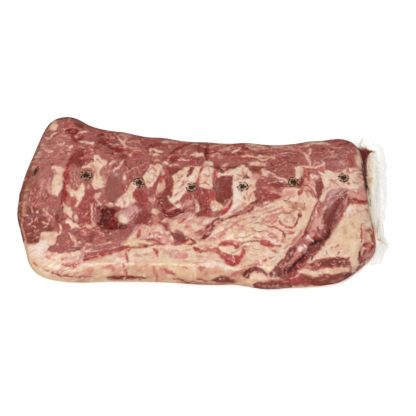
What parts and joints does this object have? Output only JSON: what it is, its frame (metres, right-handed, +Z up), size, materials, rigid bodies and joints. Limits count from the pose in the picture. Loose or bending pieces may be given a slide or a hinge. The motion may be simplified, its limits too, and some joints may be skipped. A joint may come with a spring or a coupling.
{
  "type": "beef striploin",
  "caption": "Whole boneless beef striploin, bone side up with the fat cap below, in a skin-tight clear bag with a loose end.",
  "frame": {"origin": "centre of the bounding box of both nodes at its bottom, on the table", "axes": "+X along the piece from the rib end to the rump end, +Z up, the thin front edge at -Y"},
  "size_m": [0.5194, 0.2644, 0.0699],
  "materials": {
    "meat": "raw beef with cream fat under tight clear film, wet gloss",
    "film": "crumpled clear bag film, milky where it folds"
  },
  "bodies": {
    "root": {"striploin": "meat", "bag_tail": "film"}
  },
  "joints": []
}
